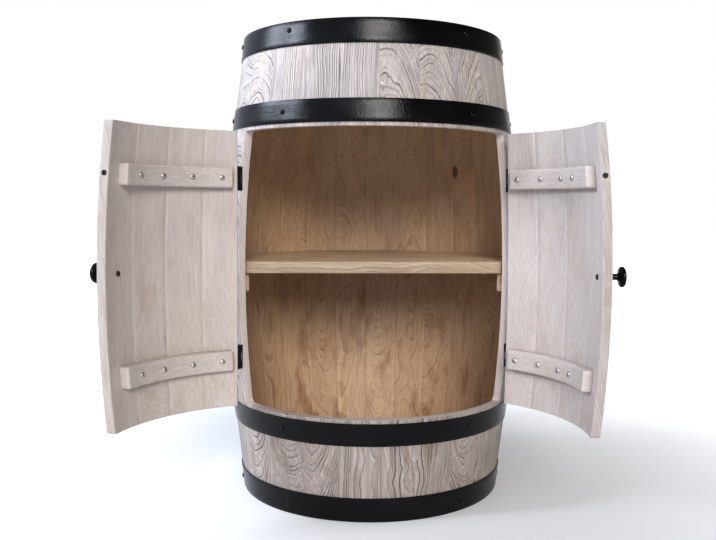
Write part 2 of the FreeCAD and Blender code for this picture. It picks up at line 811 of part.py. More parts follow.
def door_stave(side, number, motion):
    """One stave of a door, counted from the free edge to the hinges."""
    label = f"{SIDE_NAME[side]}_door_stave_{number}"
    azimuth = side * (d.stave_angle * (number - 0.5)).value
    blank = new_body(f"{label}_blank")
    revolve(blank, wall_strip(middle - d.door_half, middle + d.door_half, as_size(0), d.stave_thickness),
            d.stave_angle)
    blank.Placement = polar(0, azimuth, 0)
    reach = d.stave_angle.value / 2
    holes = [p for name in batten_levels for a, p in batten_screw_places(side, name).items()
             if abs(side * a - azimuth) < reach]
    tools = [copies(f"{label}_batten_holes", batten_drill, holes)] if holes else []
    if number == 1:
        gap = d.door_meeting_gap
        corner = (-gap.value, -d.belly_radius.value * 2, (middle - d.door_half).value - 1)
        tools.append(box(f"{label}_free_edge", gap * 2, d.belly_radius * 2, d.door_half * 2 + 2, corner,
                         FreeCAD.Placement()))
        knob_hole = screw_place((wall_radius(d.knob_level) - d.stave_thickness).value,
                                side * d.knob_azimuth.value, d.knob_level.value, 0, False)
        tools.append(copies(f"{label}_knob_hole", knob_drill, [knob_hole]))
        tools.append(copies(f"{label}_magnet_hole", magnet_drill, [magnet_place(side)]))
    if number == 4:
        tools.append(hinge_edge_cutter(side))
        tools += seat_boxes(side, 1, label)
        leaf_places = [p for level in hinge_levels for p in leaf_screw_places(side, level, 1)]
        tools.append(copies(f"{label}_leaf_holes", leaf_hole, leaf_places))
    keep(label, cut(label, blank, tools) if tools else blank, motion)


def batten(side, name, motion):
    """A curved bar that ties the door's staves together from the inside."""
    label = f"{SIDE_NAME[side]}_{name}_batten"
    bar = curved_bar(f"{label}_bar", batten_levels[name], d.batten_height, d.batten_thickness,
                     d.batten_start, d.batten_end, d.batten_easing)
    bar.Placement = polar(0, side * (d.batten_start + d.batten_end).value / 2, 0)
    holes = copies(f"{label}_holes", batten_drill, batten_screw_places(side, name).values())
    keep(label, cut(label, bar, [holes]), motion)


def knob(side, motion):
    """A turned knob: a neck on the wood, a flared head with a bevelled face, and its screw."""
    label = f"{SIDE_NAME[side]}_knob"
    body = new_body(f"{label}_blank")
    rim = d.knob_length - d.knob_dome
    revolve(body, [
        (0, 0), (d.knob_neck, 0), (d.knob_neck, d.knob_neck_length), (d.knob_radius, rim - d.knob_rim),
        (d.knob_radius, rim), (d.knob_radius - d.knob_dome * 2, d.knob_length), (0, d.knob_length)])
    bore_end = d.knob_screw_length - d.stave_thickness + d.fit_gap
    turned = cut(label, body, [drill(f"{label}_bore", wall_hole, bore_end)])
    turned.Placement = screw_place(wall_radius(d.knob_level).value, side * d.knob_azimuth.value,
                                   d.knob_level.value, 0)
    keep(label, turned, motion)
    seat = (wall_radius(d.knob_level) - d.stave_thickness - d.head_standoff).value
    place = screw_place(seat, side * d.knob_azimuth.value, d.knob_level.value, 0, False)
    keep(f"{label}_screw", copies(f"{label}_screw", knob_screw, [place]), motion)


def magnet(side, motion):
    """A round magnet let into the door's free edge."""
    disc = doc.addObject("Part::Cylinder", f"{SIDE_NAME[side]}_magnet")
    bind(disc, "Radius", d.magnet_radius)
    bind(disc, "Height", d.magnet_depth)
    sink = FreeCAD.Placement(FreeCAD.Vector(0, 0, -d.magnet_depth.value), FreeCAD.Rotation())
    disc.Placement = magnet_place(side) * sink
    keep(f"{SIDE_NAME[side]}_magnet", disc, motion)


def door(side):
    """One door with everything that turns with it."""
    motion = swing(side)
    name = SIDE_NAME[side]
    for number in range(1, 5):
        door_stave(side, number, motion)
    for level_name in batten_levels:
        batten(side, level_name, motion)
    places = [p for level_name in batten_levels for p in batten_screw_places(side, level_name).values()]
    keep(f"{name}_batten_screws", copies(f"{name}_batten_screws", batten_screw, places), motion)
    knob(side, motion)
    magnet(side, motion)
    leaves(f"{name}_hinge_door_leaves", side, 1, motion)
    places = [p for level in hinge_levels for p in leaf_screw_places(side, level, 1)]
    keep(f"{name}_door_hinge_screws", copies(f"{name}_door_hinge_screws", leaf_screw, places), motion)


door(LEFT)
door(RIGHT)


# ---------------------------------------------------------------- check and write
doc.recompute()
failed = [item.Label for item in doc.Objects if "Invalid" in item.State or "Error" in item.State]
if failed:
    raise RuntimeError(f"failed objects: {failed}")
os.makedirs("parts", exist_ok=True)
for label, item in nodes.items():
    shape = item.Shape
    if shape.isNull() or not shape.isValid() or not shape.Solids:
        raise RuntimeError(f"{label} is not a valid solid")
for label, item in nodes.items():
    item.Shape.exportStep(f"parts/{label}.step")
print(f"{len(nodes)} nodes, {sum(len(item.Shape.Solids) for item in nodes.values())} solids")
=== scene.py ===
import json
import math
import random

import bmesh
import bpy
import numpy as np
from mathutils import Matrix, Vector


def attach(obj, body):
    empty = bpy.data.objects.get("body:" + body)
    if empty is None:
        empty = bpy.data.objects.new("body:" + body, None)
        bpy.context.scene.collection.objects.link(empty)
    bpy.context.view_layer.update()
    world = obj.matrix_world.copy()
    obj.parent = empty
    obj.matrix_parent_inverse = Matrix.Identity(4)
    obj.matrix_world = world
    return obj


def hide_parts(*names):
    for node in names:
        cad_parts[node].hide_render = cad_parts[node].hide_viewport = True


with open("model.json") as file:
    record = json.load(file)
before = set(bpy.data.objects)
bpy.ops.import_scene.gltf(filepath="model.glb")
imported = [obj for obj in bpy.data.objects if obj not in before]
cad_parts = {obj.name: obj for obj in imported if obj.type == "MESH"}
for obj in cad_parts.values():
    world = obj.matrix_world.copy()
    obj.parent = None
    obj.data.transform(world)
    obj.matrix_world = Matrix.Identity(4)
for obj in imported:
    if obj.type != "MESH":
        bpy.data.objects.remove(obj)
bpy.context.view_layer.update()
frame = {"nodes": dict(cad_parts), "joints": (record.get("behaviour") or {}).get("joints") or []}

# ------------------------------------------------------------------ full staves
# Sixteen planks of brushed softwood run the whole height at the back and sides. They are sawn to the
# barrel's curve, bevelled to fit each other and glued. Outside and past the heads they are limed,
# elsewhere inside only oiled.
HEIGHT = 0.800
MIDDLE = 0.400
BELLY_RADIUS = 0.266
BEND_RADIUS = 1.870
BEND_HALF = 0.234
WALL = 0.0135
STAVE_TURN = math.radians(15)
TURN_STEP = STAVE_TURN / 8
DOORWAY_TURN = math.radians(60)
DOORWAY_HALF = 0.230
CROZES = ((0.0250, 0.0332), (0.7670, 0.7752))
CROZE_DEPTH = 0.0042
HEADS_APART = 0.760
PLANK_EASE = 0.0005
LEVEL_STEP = 0.020
HINGE_RADIUS = 0.265
HINGE_TURN = math.radians(59.68)
HINGE_LEVELS = (0.550, 0.250)
FRAME_EDGE = 0.0015
ARRIS_DEPTH = 0.0015
ARRIS_SLOPE = 0.268
CUTTER_RUN = 0.040
LEFT = -1
RIGHT = 1
STEP_SLACK = 0.001
SHARP_TURN = 0.7
CLOSE = 0.001
HAIR = 0.0001


def wall_radius(z):
    """Outer radius of the wood at a height: an arc, then straight towards each end."""
    reach = abs(z - MIDDLE)
    if reach <= BEND_HALF:
        return BELLY_RADIUS - BEND_RADIUS + math.sqrt(BEND_RADIUS ** 2 - reach ** 2)
    flat = math.sqrt(BEND_RADIUS ** 2 - BEND_HALF ** 2)
    return BELLY_RADIUS - BEND_RADIUS + flat - (reach - BEND_HALF) * BEND_HALF / flat


def outer_radius(turn, z):
    """Outer face of a stave, the same at every azimuth."""
    return wall_radius(z)


def on_barrel(turn, radius, z):
    """A point at an azimuth from the doorway's middle, a radius and a height."""
    return Vector((radius * math.sin(turn), -radius * math.cos(turn), z))


def steps(low, high, step, extra=()):
    """Even steps from low to high, with the extra values that lie between them put in."""
    count = max(1, math.ceil((high - low) / step - STEP_SLACK))
    even = [low + (high - low) * i / count for i in range(1, count)]
    near = [e for e in extra if low < e < high]
    return [low] + sorted([e for e in even if all(abs(e - n) > step / 4 for n in near)] + near) + [high]


def bent_board(turns, levels, outer, inner):
    """A closed board between two skins, whose radius is given at (azimuth, height)."""
    bm = bmesh.new()
    front, back = [[[bm.verts.new(on_barrel(a, skin(a, z), z)) for a in turns] for z in levels]
                   for skin in (outer, inner)]
    for i in range(len(levels) - 1):
        for j in range(len(turns) - 1):
            bm.faces.new((front[i][j], front[i][j + 1], front[i + 1][j + 1], front[i + 1][j]))
            bm.faces.new((back[i][j], back[i + 1][j], back[i + 1][j + 1], back[i][j + 1]))
        for j in (0, -1):
            bm.faces.new((front[i][j], front[i + 1][j], back[i + 1][j], back[i][j]))
    for j in range(len(turns) - 1):
        for i in (0, -1):
            bm.faces.new((front[i][j], back[i][j], back[i][j + 1], front[i][j + 1]))
    bmesh.ops.recalc_face_normals(bm, faces=bm.faces)
    return bm


def ease(bm, radius, wanted=None, segments=2):
    """Round the sharp edges of a board, or those that pass a test on their two ends."""
    sharp = [e for e in bm.edges if e.is_manifold and e.calc_face_angle(0) > SHARP_TURN
             and (wanted is None or wanted(e.verts[0].co, e.verts[1].co))]
    bmesh.ops.bevel(bm, geom=sharp, offset=radius, offset_type="OFFSET", segments=segments,
                    profile=0.5, affect="EDGES", clamp_overlap=True)


def upright(a, b):
    """An edge that runs up the barrel, not one of the level ones."""
    return abs(a.z - b.z) > CLOSE


def smooth(piece, crisp=35):
    """Shade a piece smooth, apart from its corners."""
    piece.data.polygons.foreach_set("use_smooth", [True] * len(piece.data.polygons))
    piece.data.set_sharp_from_angle(angle=math.radians(crisp))
    return piece


def make_piece(name, bm):
    """Turn a bmesh into an object with smooth faces and crisp corners."""
    mesh = bpy.data.meshes.new(name)
    bm.to_mesh(mesh)
    bm.free()
    piece = bpy.data.objects.new(name, mesh)
    bpy.context.scene.collection.objects.link(piece)
    return smooth(piece)


def carve(piece, knives):
    """Cut other solids out of a piece and take them away."""
    for knife in knives:
        cut = piece.modifiers.new("cut", "BOOLEAN")
        cut.operation = "DIFFERENCE"
        cut.solver = "EXACT"
        cut.object = knife
    seen = piece.evaluated_get(bpy.context.evaluated_depsgraph_get())
    carved = bpy.data.meshes.new_from_object(seen)
    piece.modifiers.clear()
    piece.data = carved
    for knife in knives:
        bpy.data.objects.remove(knife)
    smooth(piece)


def hinge_axes(side):
    """The hinge pin's foot, and the directions outwards and to growing azimuth there."""
    turn = side * HINGE_TURN
    along = Vector((math.cos(turn), math.sin(turn), 0))
    return on_barrel(turn, HINGE_RADIUS, 0), on_barrel(turn, 1, 0), along


def hinge_knife(side, corners, low, high):
    """A cutter through (outwards, towards growing azimuth) corners about the hinge pin."""
    foot, out, along = hinge_axes(side)
    bm = bmesh.new()
    rows = [[bm.verts.new(foot + out * x + along * y + Vector((0, 0, z))) for x, y in corners]
            for z in (low, high)]
    bm.faces.new(rows[0])
    bm.faces.new(rows[1])
    for i in range(len(corners)):
        bm.faces.new((rows[0][i - 1], rows[0][i], rows[1][i], rows[1][i - 1]))
    bmesh.ops.recalc_face_normals(bm, faces=bm.faces)
    return make_piece("knife", bm)


def seat_knives(side, way):
    """Cutters for the pockets of two hinge leaves, in the door (way 1) or in the frame (way -1)."""
    deep, wide, half_tall, proud = 0.0075, 0.0225, 0.0202, 0.012
    reach = -side * way * wide
    corners = ((-deep, 0), (proud, 0), (proud, reach), (-deep, reach))
    return [hinge_knife(side, corners, level - half_tall, level + half_tall) for level in HINGE_LEVELS]


def arris_knife(side):
    """A cutter for the slope planed along the doorway's outer arris, which lets the door swing by."""
    rise = ARRIS_SLOPE * CUTTER_RUN - ARRIS_DEPTH
    near, far = side * FRAME_EDGE, side * (FRAME_EDGE + CUTTER_RUN)
    corners = ((-ARRIS_DEPTH, near), (rise, far), (rise + CUTTER_RUN, far), (rise + CUTTER_RUN, -near),
               (-ARRIS_DEPTH, -near))
    return hinge_knife(side, corners, MIDDLE - DOORWAY_HALF, MIDDLE + DOORWAY_HALF)


LOG_LEAN = (0.05, 0.15)
LOG_ASIDE = 0.060
LOG_DEPTH = (0.035, 0.070)
LOG_STEP = 1.7
# Share of painted shade towards the floor, where the light falls off; it also lets patches of scuffed-off
# lime show there.
SHADE_AND_SCUFFS_AT_FLOOR, SHADE_AND_SCUFFS_LOST, SHADE_AND_SCUFFS_SCATTER = 0.88, 0.84, 0.04


def lay_grain(piece, seed, place, across, along):
    """Store where each point lay in the log, and a share growing towards the floor: painted shade, and
    scuffed lime.
    """
    across, along = np.array(across, float), np.array(along, float)
    deep = np.cross(along, across)
    points = np.array([v.co for v in piece.data.vertices]) - np.array(place)
    saw = random.Random(seed)
    lean = saw.choice((-1, 1)) * saw.uniform(*LOG_LEAN)
    log = np.stack((points @ across + saw.uniform(-LOG_ASIDE, LOG_ASIDE),
                    points @ deep + points @ along * lean + saw.uniform(*LOG_DEPTH),
                    points @ along + seed * LOG_STEP), 1)
    stored = piece.data.attributes.new("log", "FLOAT_VECTOR", "POINT")
    stored.data.foreach_set("vector", log.astype(np.float32).ravel())
    heights = np.array([v.co.z for v in piece.data.vertices])
    scuffed_and_shaded = SHADE_AND_SCUFFS_AT_FLOOR - SHADE_AND_SCUFFS_LOST * heights / HEIGHT + saw.uniform(-SHADE_AND_SCUFFS_SCATTER, SHADE_AND_SCUFFS_SCATTER)
    stored = piece.data.attributes.new("shade_and_scuffs", "FLOAT", "POINT")
    stored.data.foreach_set("value", np.clip(scuffed_and_shaded, 0, 1).astype(np.float32))


def lay_stave_grain(piece, turn, seed):
    """Lay the grain of a stave: its length runs up the barrel, its width along the wall."""
    lay_grain(piece, seed, on_barrel(turn, BELLY_RADIUS, 0), (math.cos(turn), math.sin(turn), 0), (0, 0, 1))


def add(tree, kind, sockets=None, **settings):
    """Add a shader node; a socket is given a number, a colour or another node's output."""
    node = tree.nodes.new(f"ShaderNode{kind}")
    for name, value in settings.items():
        setattr(node, name, value)
    for key, value in (sockets or {}).items():
        if isinstance(value, bpy.types.NodeSocket):
            tree.links.new(value, node.inputs[key])
        else:
            node.inputs[key].default_value = value
    return node


def calc(tree, operation, first, second=0.0, third=0.0):
    """One step of arithmetic."""
    return add(tree, "Math", {0: first, 1: second, 2: third}, operation=operation).outputs[0]


def times(tree, first, second):
    """The product of two values."""
    return calc(tree, "MULTIPLY", first, second)


def distance(tree, vector):
    """How far a position lies from the origin."""
    return add(tree, "VectorMath", {0: vector}, operation="LENGTH").outputs["Value"]


def stretch(tree, vector, scale):
    """A position scaled along its three axes."""
    return add(tree, "VectorMath", {0: vector, 1: scale}, operation="MULTIPLY").outputs[0]


def cloud(tree, vector, scale, detail=2.0, rough=0.5):
    """Soft noise from 0 to 1 on a position scaled along its three axes."""
    return add(tree, "TexNoise", {"Vector": stretch(tree, vector, scale), "Scale": 1.0, "Detail": detail,
                                  "Roughness": rough}).outputs[0]


def drift(tree, vector, scale, reach, detail):
    """A position moved about by noise that varies along its own three axes."""
    noise = add(tree, "TexNoise", {"Vector": stretch(tree, vector, scale), "Scale": 1.0, "Detail": detail})
    shift = add(tree, "VectorMath", {0: noise.outputs["Color"], 1: (-0.5, -0.5, -0.5)}).outputs[0]
    return add(tree, "VectorMath", {0: stretch(tree, shift, reach), 1: vector}).outputs[0]


def spread(tree, value, low, high, new_low=0.0, new_high=1.0):
    """A value between low and high, spread smoothly over a new range and held inside it."""
    return add(tree, "MapRange", {0: value, 1: low, 2: high, 3: new_low, 4: new_high},
               interpolation_type="SMOOTHSTEP").outputs[0]


def mix(tree, share, first, second):
    """Blend two colours."""
    return add(tree, "Mix", {0: share, 6: first, 7: second}, data_type="RGBA").outputs[2]


def tint(red, green, blue):
    """A colour in steps of 0 to 255, made linear."""
    return tuple(((c / 255 + 0.055) / 1.055) ** 2.4 for c in (red, green, blue)) + (1.0,)


def new_finish(name):
    """An empty material, with its nodes and its shader."""
    finish = bpy.data.materials.new(name)
    finish.use_nodes = True
    return finish, finish.node_tree, finish.node_tree.nodes["Principled BSDF"]


STRIP_SHIFT = (0.03, 0.02, 3.0)
KNOT_CELLS, KNOT_REACH, KNOT_RARITY = (17, 0, 9), 0.42, 0.93
KNOT_PUSH = -5.0
GOOD_YEARS, SEASON_PACE = 2.6, 0.31


def shift_strips(tree, log, strip):
    """Take each strip of a glued-up board from another part of the log."""
    across = add(tree, "SeparateXYZ", {0: log}).outputs[0]
    number = calc(tree, "FLOOR", calc(tree, "DIVIDE", across, strip))
    chance = add(tree, "TexWhiteNoise", {"W": number}, noise_dimensions="1D").outputs["Color"]
    return add(tree, "VectorMath", {0: stretch(tree, chance, STRIP_SHIFT), 1: log}).outputs[0]


def find_knots(tree, log):
    """Where branches grew: 1 in the middle of a knot, 0 away from all of them."""
    cells = add(tree, "TexVoronoi", {"Vector": stretch(tree, log, KNOT_CELLS), "Scale": 1.0})
    chosen = add(tree, "SeparateColor", {0: cells.outputs["Color"]}).outputs[0]
    near = spread(tree, cells.outputs["Distance"], 0.0, KNOT_REACH, 1.0, 0.0)
    return times(tree, near, calc(tree, "GREATER_THAN", chosen, KNOT_RARITY))


def count_rings(tree, bent, knot, ring):
    """The growth rings from the pith to a point: wider in good years, pushed aside by knots."""
    even = calc(tree, "DIVIDE", distance(tree, stretch(tree, bent, (1, 1, 0))), ring)
    seasons = add(tree, "TexNoise", {"W": times(tree, even, SEASON_PACE), "Scale": 1.0, "Detail": 1.0},
                  noise_dimensions="1D").outputs[0]
    rings = calc(tree, "MULTIPLY_ADD", seasons, GOOD_YEARS, even)
    return calc(tree, "MULTIPLY_ADD", calc(tree, "POWER", knot, 2.0), KNOT_PUSH, rings)


def pine(name, tones, ring, dark, relief, fibre, gloss, strip=None):
    """Softwood cut across its growth rings: pale early wood, thin late wood, knots, fibre, relief and a
    painted highlight on each ridge.
    """
    finish, tree, shader = new_finish(name)
    log = add(tree, "Attribute", attribute_name="log").outputs["Vector"]
    # Painted shade: this share darkens the colour and its late-wood lines towards the floor, and lets
    # scuffed patches show there.
    shade_and_scuffs = add(tree, "Attribute", attribute_name="shade_and_scuffs").outputs["Fac"]
    if strip is not None:
        log = shift_strips(tree, log, strip)
    bent = drift(tree, log, (7, 7, 4), (0.034, 0.034, 0), 1.0)
    bent = drift(tree, bent, (26, 26, 15), (0.008, 0.008, 0), 1.0)
    bent = drift(tree, bent, (90, 90, 45), (0.0020, 0.0020, 0), 2.0)
    knot = find_knots(tree, log)
    rings = count_rings(tree, bent, knot, ring)
    phase = calc(tree, "FRACT", rings)
    late = times(tree, spread(tree, phase, 0.54, 0.82), spread(tree, phase, 0.84, 0.92, 1.0, 0.0))
    # The crest is the top of each late-wood ridge; its light tone is a painted highlight.
    crest = times(tree, spread(tree, phase, 0.86, 0.94), spread(tree, phase, 0.94, 1.0, 1.0, 0.0))
    number = calc(tree, "FLOOR", rings)
    year = add(tree, "TexWhiteNoise", {"W": number}, noise_dimensions="1D").outputs["Value"]
    worn = spread(tree, cloud(tree, log, (34, 34, 9)), 0.30, 0.60, 0.25, 1.0)
    strong = times(tree, calc(tree, "MULTIPLY_ADD", calc(tree, "POWER", year, 1.4), 0.8, 0.35), worn)
    line = times(tree, times(tree, late, strong), calc(tree, "MULTIPLY_ADD", shade_and_scuffs, 0.8, 0.75))
    hair = cloud(tree, log, (900, 900, 16), 3.0, 0.6)
    thread = cloud(tree, bent, (400, 400, 4), 3.0, 0.6)
    streak = spread(tree, cloud(tree, bent, (150, 150, 2.5)), 0.42, 0.70)
    patch = spread(tree, cloud(tree, log, (28, 28, 8), 3.0, 0.6), 0.36, 0.64)
    warm = spread(tree, cloud(tree, log, (27, 27, -9), 1.0), 0.50, 0.70)
    bare = spread(tree, cloud(tree, log, (31, -31, 12), 2.0), 0.52, 0.74)
    colour = tones["pale"]
    # The crest tone paints a highlight along the ridges, and is also the paler tone of the light threads.
    for share, tone in ((patch, "grey"),
                        (times(tree, warm, 0.7), "warm"),
                        (times(tree, shade_and_scuffs, 0.85), "streak"),
                        (times(tree, bare, shade_and_scuffs), "bare"),
                        (times(tree, streak, fibre), "streak"),
                        (spread(tree, thread, 0.50, 0.68, 0.0, fibre), "late"),
                        (spread(tree, thread, 0.32, 0.48, fibre, 0.0), "crest"),
                        (times(tree, line, dark), "late"),
                        (times(tree, times(tree, crest, strong), dark * 0.9), "crest"),
                        (times(tree, spread(tree, hair, 0.52, 0.78), fibre * 0.7), "late"),
                        (times(tree, spread(tree, knot, 0.72, 0.90), 0.8), "knot")):
        colour = mix(tree, share, colour, tones[tone])
    ridge = times(tree, calc(tree, "MAXIMUM", late, crest), strong)
    height = calc(tree, "MULTIPLY_ADD", thread, 0.35, ridge)
    bump = add(tree, "Bump", {"Height": height, "Strength": 1.0, "Distance": relief})
    tree.links.new(colour, shader.inputs["Base Color"])
    tree.links.new(spread(tree, hair, 0.2, 0.8, gloss - 0.07, gloss + 0.09), shader.inputs["Roughness"])
    tree.links.new(bump.outputs[0], shader.inputs["Normal"])
    return finish


# In each set the crest tone is a painted highlight for the late-wood ridges, and the light threads' tone.
LIMED_TONES = {"pale": tint(190, 181, 177), "grey": tint(172, 165, 163), "warm": tint(184, 175, 164),
               "streak": tint(137, 125, 116), "late": tint(86, 72, 64), "crest": tint(232, 227, 224),
               "bare": tint(124, 105, 91), "knot": tint(96, 80, 72)}
SANDED_TONES = {"pale": tint(201, 193, 188), "grey": tint(193, 185, 182), "warm": tint(199, 189, 181),
                "streak": tint(183, 172, 164), "late": tint(138, 122, 112), "crest": tint(216, 209, 204),
                "bare": tint(177, 162, 151), "knot": tint(114, 96, 86)}
OILED_TONES = {"pale": tint(216, 192, 163), "grey": tint(200, 174, 146), "warm": tint(218, 190, 156),
               "streak": tint(178, 148, 120), "late": tint(126, 92, 66), "crest": tint(226, 204, 178),
               "bare": tint(140, 102, 74), "knot": tint(88, 58, 42)}
limed_pine = pine("limed_pine", LIMED_TONES, ring=0.0027, dark=0.95, relief=0.0012, fibre=0.22,
                  gloss=0.62)
smooth_pine = pine("smooth_pine", SANDED_TONES, ring=0.0034, dark=0.15, relief=0.0001, fibre=0.22,
                   gloss=0.58)
oiled_pine = pine("oiled_pine", OILED_TONES, ring=0.0032, dark=0.42, relief=0.0002, fibre=0.26,
                  gloss=0.48)
FACES_OUT, FACES_IN = 0.75, -0.6


def coat(piece, *finishes):
    """Give a piece these finishes and no others."""
    piece.data.materials.clear()
    for finish in finishes:
        piece.data.materials.append(finish)


def paint_plank(piece, inside, edges=smooth_pine):
    """Lime a plank outside and past the heads, smooth its edges and give it a third finish inside."""
    coat(piece, limed_pine, edges, inside)
    for face in piece.data.polygons:
        facing = face.normal.dot(Vector((face.center.x, face.center.y, 0)).normalized())
        past_heads = abs(face.center.z - MIDDLE) > HEADS_APART / 2
        if facing > FACES_OUT or (facing < FACES_IN and past_heads):
            face.material_index = 0
        elif facing < FACES_IN:
            face.material_index = 2
        else:
            face.material_index = 1


def hand_in(piece, body, node):
    """Say which body a piece moves with and which node it stands for."""
    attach(piece, body)
    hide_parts(node)


def croze_radius(turn, z):
    """Inner face of a stave, with a croze near each end."""
    groove = any(low < z < high for low, high in CROZES)
    return wall_radius(z) - WALL + (CROZE_DEPTH if groove else 0)


groove_levels = [edge + shift for croze in CROZES for edge in croze for shift in (-HAIR, HAIR)]
for number in range(1, 17):
    start = DOORWAY_TURN + STAVE_TURN * (number - 1)
    bm = bent_board(steps(start, start + STAVE_TURN, TURN_STEP),
                    steps(0, HEIGHT, LEVEL_STEP, groove_levels), outer_radius, croze_radius)
    ease(bm, PLANK_EASE, lambda a, b: {a.z, b.z} <= {0, HEIGHT} or upright(a, b))
    piece = make_piece(f"plank_{number:02d}", bm)
    if number in (1, 16):
        side = RIGHT if number == 1 else LEFT
        carve(piece, [arris_knife(side)] + seat_knives(side, -1))
    lay_stave_grain(piece, start + STAVE_TURN / 2, number)
    paint_plank(piece, oiled_pine)
    hand_in(piece, "cabinet", f"stave_{number:02d}")

# ------------------------------------------------------------------ short staves
# Eight staves above the doorway and eight below it, sawn off square at its lintel and sill. The lime
# covers their cut ends, and a small rounding is left in the doorway's corners.
CORNER = 0.006
CORNER_PARTS = (0.1, 0.25, 0.45, 0.7, 1)
SAWN_EASE = 0.0012
SAWN_REACH = 0.002
SHORT_SEEDS = {"upper": 30, "lower": 20}
for label, low, high in (("upper", MIDDLE + DOORWAY_HALF, HEIGHT), ("lower", 0, MIDDLE - DOORWAY_HALF)):
    sawn, into_doorway = (low, -1) if label == "upper" else (high, 1)
    for index in range(8):
        start = STAVE_TURN * index - DOORWAY_TURN
        jamb = {0: -DOORWAY_TURN, 7: DOORWAY_TURN}.get(index)
        arc = []
        if jamb:
            arc = [jamb - math.copysign(CORNER * part, jamb) / BELLY_RADIUS for part in CORNER_PARTS]
        bm = bent_board(steps(start, start + STAVE_TURN, TURN_STEP, arc),
                        steps(low, high, LEVEL_STEP, groove_levels), outer_radius, croze_radius)
        ease(bm, SAWN_EASE, lambda a, b: {a.z, b.z} <= {low, high}, 3)
        ease(bm, PLANK_EASE, upright)
        for v in bm.verts if jamb else ():
            short = CORNER - abs(jamb - math.atan2(v.co.x, -v.co.y)) * BELLY_RADIUS
            if short > 0 and abs(v.co.z - sawn) < SAWN_REACH:
                v.co.z += into_doorway * (CORNER - math.sqrt(max(0, CORNER ** 2 - short ** 2)))
        piece = make_piece(f"{label}_plank_{index + 1}", bm)
        lay_stave_grain(piece, start + STAVE_TURN / 2, SHORT_SEEDS[label] + index)
        paint_plank(piece, oiled_pine)
        hand_in(piece, "cabinet", f"{label}_short_staves")

# ------------------------------------------------------------------ head boards
# Each end is shut by a round head of five boards. Their rims are bevelled down to a tongue that sits
# in the staves' croze, and the joints between boards are slightly open.
HEAD_BOARDS = 5
HEAD_LEVELS = (("top", 0.762, 1), ("bottom", 0.020, -1))
HEAD_THICK = 0.018
HEAD_BEVEL = 0.0085
TONGUE = 0.008
HEAD_FIT = 0.0002
HALF_GAP = 0.0001
HEAD_EASE = 0.0007
HEAD_SEED = 50
HIDDEN_SIDE = -0.3


def turned(profile, sides=24):
    """A solid of revolution about Z through (radius, height) points, from axis to axis."""
    bm = bmesh.new()
    around = [(math.cos(math.tau * i / sides), math.sin(math.tau * i / sides)) for i in range(sides)]
    rings = [[bm.verts.new((radius * x, radius * y, z)) for x, y in (around if radius > 0 else around[:1])]
             for radius, z in profile]
    for low, high in zip(rings, rings[1:]):
        for i in range(sides):
            corners = (low[i % len(low)], low[(i + 1) % len(low)],
                       high[(i + 1) % len(high)], high[i % len(high)])
            bm.faces.new(tuple(dict.fromkeys(corners)))
    bmesh.ops.recalc_face_normals(bm, faces=bm.faces)
    return bm


def saw_off(bm, place, facing):
    """Saw off all that lies past a plane and close the cut."""
    bmesh.ops.bisect_plane(bm, geom=bm.verts[:] + bm.edges[:] + bm.faces[:], dist=1e-6, plane_co=place,
                           plane_no=facing, clear_outer=True)
    bmesh.ops.edgeloop_fill(bm, edges=[e for e in bm.edges if e.is_boundary])


for label, low, outwards in HEAD_LEVELS:
    tongue_low = low + (HEAD_THICK - TONGUE) / 2
    tongue_high = tongue_low + TONGUE
    tip = wall_radius(tongue_low) - WALL + CROZE_DEPTH - HEAD_FIT
    lip = min(wall_radius(tongue_low), wall_radius(tongue_high + HEAD_FIT)) - WALL - HEAD_FIT
    width = 2 * tip / HEAD_BOARDS
    for index in range(HEAD_BOARDS):
        bm = turned([(0, low), (lip - HEAD_BEVEL, low), (lip, tongue_low), (tip, tongue_low),
                     (tip, tongue_high), (lip, tongue_high), (lip - HEAD_BEVEL, low + HEAD_THICK),
                     (0, low + HEAD_THICK)], 120)
        edge = index * width - tip
        if index > 0:
            saw_off(bm, (edge + HALF_GAP, 0, 0), (-1, 0, 0))
        if index < HEAD_BOARDS - 1:
            saw_off(bm, (edge + width - HALF_GAP, 0, 0), (1, 0, 0))
        faces = (low, low + HEAD_THICK)
        ease(bm, HEAD_EASE, lambda a, b: a.z == b.z and a.z in faces and abs(a.x - b.x) < HAIR)
        piece = make_piece(f"{label}_head_board_{index + 1}", bm)
        lay_grain(piece, HEAD_SEED + index + outwards, place=(edge + width / 2, 0, low),
                  across=(1, 0, 0), along=(0, 1, 0))
        coat(piece, limed_pine, oiled_pine)
        for face in piece.data.polygons:
            face.material_index = 1 if face.normal.z * outwards < HIDDEN_SIDE else 0
        hand_in(piece, "cabinet", f"{label}_head")

# ------------------------------------------------------------------ hoops
# Four bands of black satin steel strip. Each starts under its own end at the back, goes once round,
# climbs over its start in a joggle and is riveted there.
HOOPS = {"top": (0.7595, 0.7995), "upper": (0.6359, 0.6729), "lower": (0.1271, 0.1641),
         "bottom": (0.0005, 0.0405)}
STRIP = 0.002
STRIP_EASE = 0.0005
STRIP_STEP = 0.008
BEND_STEP = math.radians(2.5)
BLACK = (0.002, 0.002, 0.0024, 1)
HOOP_FIT = 0.00005
LAP_START, LAP_END = math.radians(172), math.radians(188)
JOGGLE = math.radians(7)
LAP_LIFT = 1.01


def hoop_lift(turn):
    """How far the strip stands off the wood: nothing, until it climbs over its own start."""
    climb = (turn - (LAP_START + math.tau - JOGGLE)) / JOGGLE
    climb = min(1.0, max(0.0, climb))
    return HOOP_FIT + STRIP * LAP_LIFT * climb * climb * (3 - 2 * climb)


def scaled(tone, share):
    """A tone made darker or lighter."""
    return tuple(c * share for c in tone[:3]) + (1.0,)


